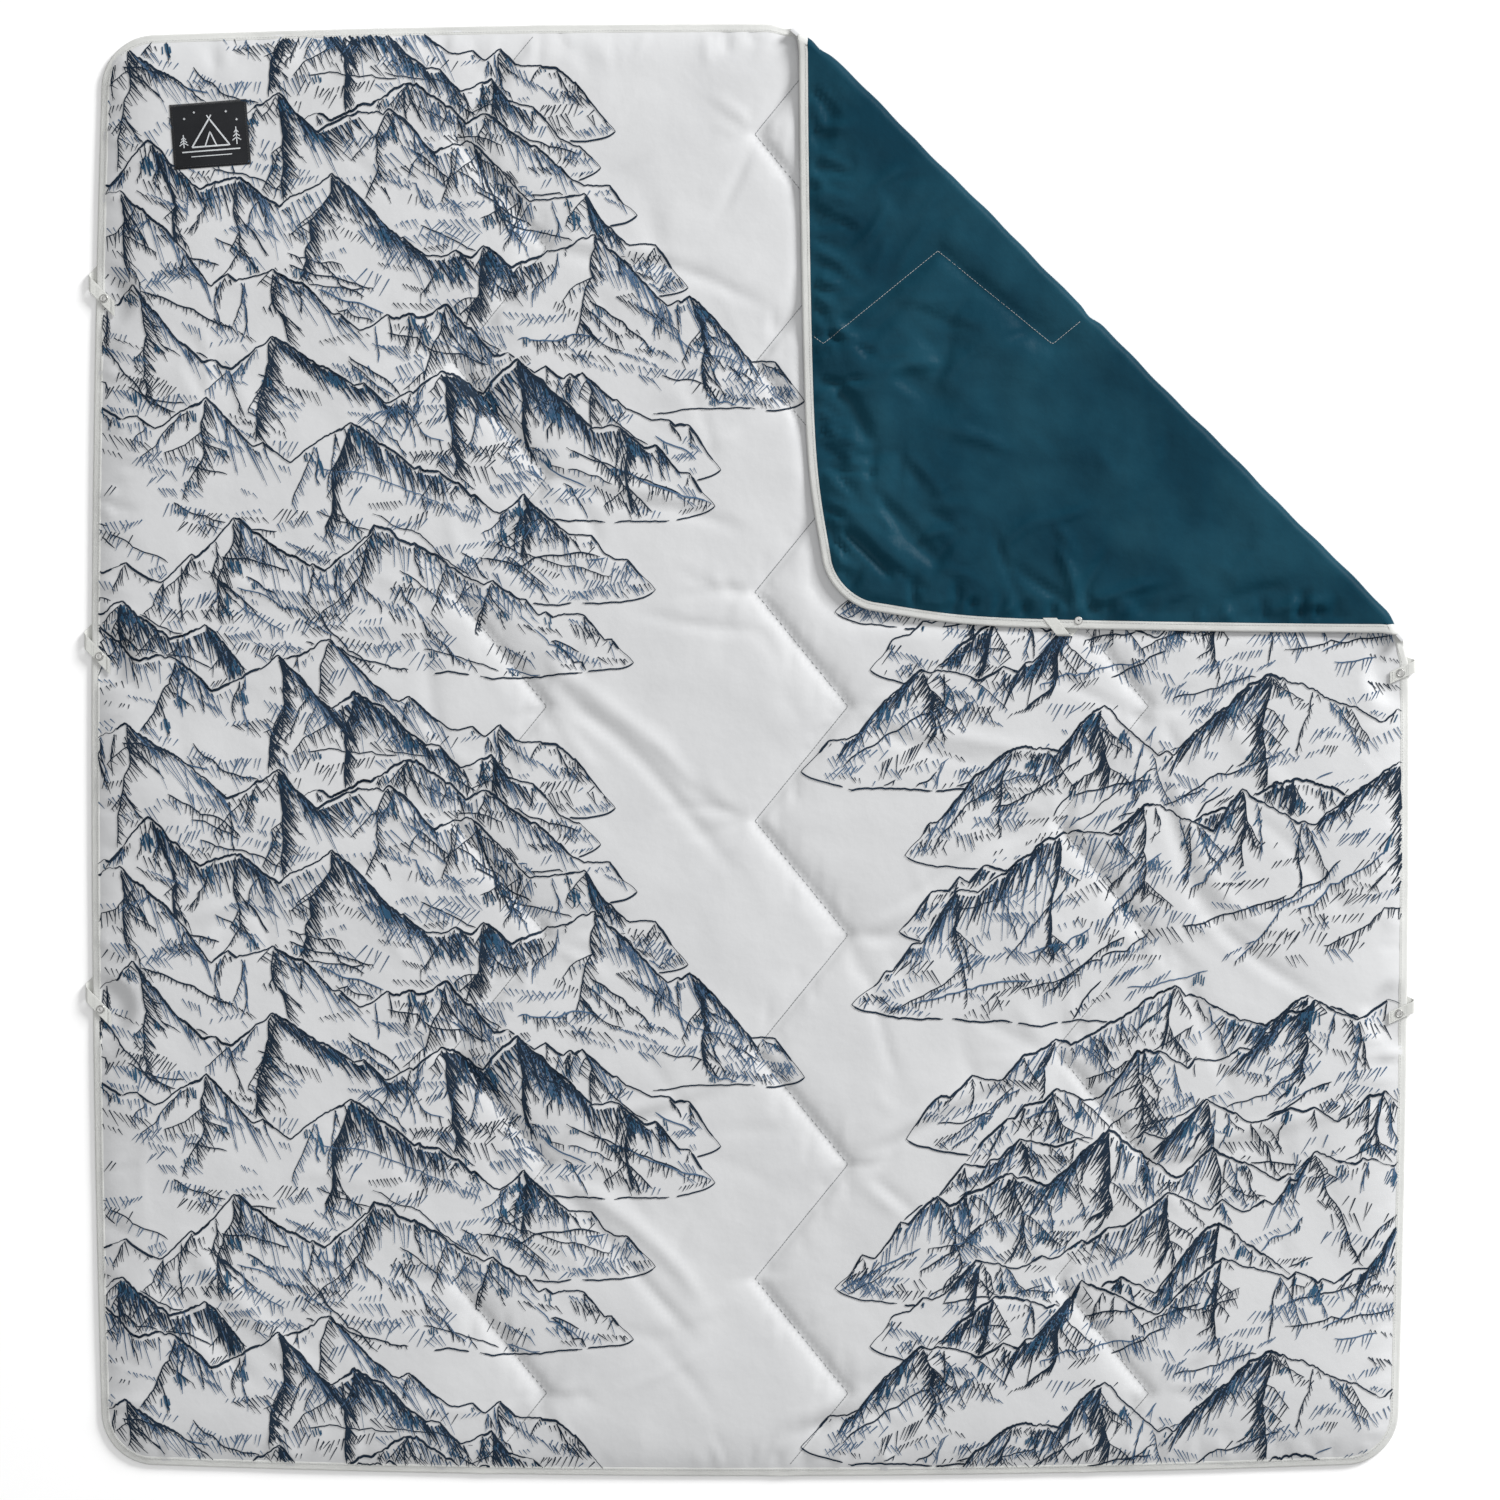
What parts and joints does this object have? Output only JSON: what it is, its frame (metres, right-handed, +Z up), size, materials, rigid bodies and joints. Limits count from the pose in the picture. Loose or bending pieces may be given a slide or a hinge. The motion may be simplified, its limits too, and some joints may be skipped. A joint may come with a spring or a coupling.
{
  "type": "camp blanket",
  "caption": "Quilted two-person camp blanket, pale grey printed face and teal back, edge binding, woven label, snap tabs and one corner folded over.",
  "frame": {"origin": "middle of the underside, on the surface that the blanket lies on", "axes": "+Z up through the quilt, +Y towards the end with the label, +X to the right seen from above with the label end away"},
  "size_m": [1.8355, 2.0019, 0.0283],
  "materials": {
    "face_fabric": "light grey woven polyester, printed with dark mountain line art",
    "back_fabric": "deep teal woven polyester with a satin sheen",
    "batting": "white loose-fibre synthetic insulation",
    "binding_tape": "light grey folded grosgrain tape",
    "thread": "light grey polyester sewing thread",
    "label_fabric": "black woven label",
    "snap_metal": "nickel plated press snap"
  },
  "bodies": {
    "blanket": {"face_shell": "face_fabric", "back_shell": "back_fabric", "insulation": "batting", "edge_binding": "binding_tape", "binding_stitching": "thread", "quilt_stitching": "thread", "label_patch": "label_fabric", "label_stitching": "thread", "fold_back_shell": "back_fabric", "fold_insulation": "batting", "fold_binding": "binding_tape", "tab_root_left_upper": "binding_tape", "snap_stud_left_upper": "snap_metal", "snap_post_cap_left_upper": "snap_metal", "tab_root_left_middle": "binding_tape", "snap_stud_left_middle": "snap_metal", "snap_post_cap_left_middle": "snap_metal", "tab_root_left_lower": "binding_tape", "snap_stud_left_lower": "snap_metal", "snap_post_cap_left_lower": "snap_metal", "tab_root_right_middle": "binding_tape", "snap_stud_right_middle": "snap_metal", "snap_post_cap_right_middle": "snap_metal", "tab_root_right_lower": "binding_tape", "snap_stud_right_lower": "snap_metal", "snap_post_cap_right_lower": "snap_metal"},
    "folded_corner": {"corner_face_shell": "face_fabric", "corner_back_shell": "back_fabric", "corner_insulation": "batting", "corner_binding": "binding_tape", "corner_binding_stitching": "thread", "corner_quilt_stitching": "thread", "corner_tab": "binding_tape", "corner_snap_cap": "snap_metal", "corner_snap_socket": "snap_metal", "corner_snap_stud": "snap_metal", "corner_snap_post_cap": "snap_metal"},
    "tab_left_upper": {"tab_strap_left_upper": "binding_tape", "snap_cap_left_upper": "snap_metal", "snap_socket_left_upper": "snap_metal"},
    "tab_left_middle": {"tab_strap_left_middle": "binding_tape", "snap_cap_left_middle": "snap_metal", "snap_socket_left_middle": "snap_metal"},
    "tab_left_lower": {"tab_strap_left_lower": "binding_tape", "snap_cap_left_lower": "snap_metal", "snap_socket_left_lower": "snap_metal"},
    "tab_right_middle": {"tab_strap_right_middle": "binding_tape", "snap_cap_right_middle": "snap_metal", "snap_socket_right_middle": "snap_metal"},
    "tab_right_lower": {"tab_strap_right_lower": "binding_tape", "snap_cap_right_lower": "snap_metal", "snap_socket_right_lower": "snap_metal"}
  },
  "joints": [
    {"name": "corner_fold", "type": "hinge", "parent": "blanket", "child": "folded_corner", "pos_m": [0.534, 0.534, 0.01415], "axis": [-0.7071, 0.7071, 0], "range_deg": [0, 180], "deforming": ["fold_back_shell", "fold_insulation", "fold_binding"]},
    {"name": "tab_left_upper_open", "type": "hinge", "parent": "blanket", "child": "tab_left_upper", "pos_m": [-0.91169, 0.64506, 0.0043], "axis": [0, -1, 0], "range_deg": [0, 160]},
    {"name": "tab_left_middle_open", "type": "hinge", "parent": "blanket", "child": "tab_left_middle", "pos_m": [-0.91782, 0.15205, 0.0043], "axis": [0, -1, 0], "range_deg": [0, 160]},
    {"name": "tab_left_lower_open", "type": "hinge", "parent": "blanket", "child": "tab_left_lower", "pos_m": [-0.91599, -0.33394, 0.0043], "axis": [0, -1, 0], "range_deg": [0, 160]},
    {"name": "tab_right_middle_open", "type": "hinge", "parent": "blanket", "child": "tab_right_middle", "pos_m": [0.91791, 0.11638, 0.0043], "axis": [0, 1, 0], "range_deg": [0, 160]},
    {"name": "tab_right_lower_open", "type": "hinge", "parent": "blanket", "child": "tab_right_lower", "pos_m": [0.91592, -0.35263, 0.0043], "axis": [0, 1, 0], "range_deg": [0, 160]}
  ]
}
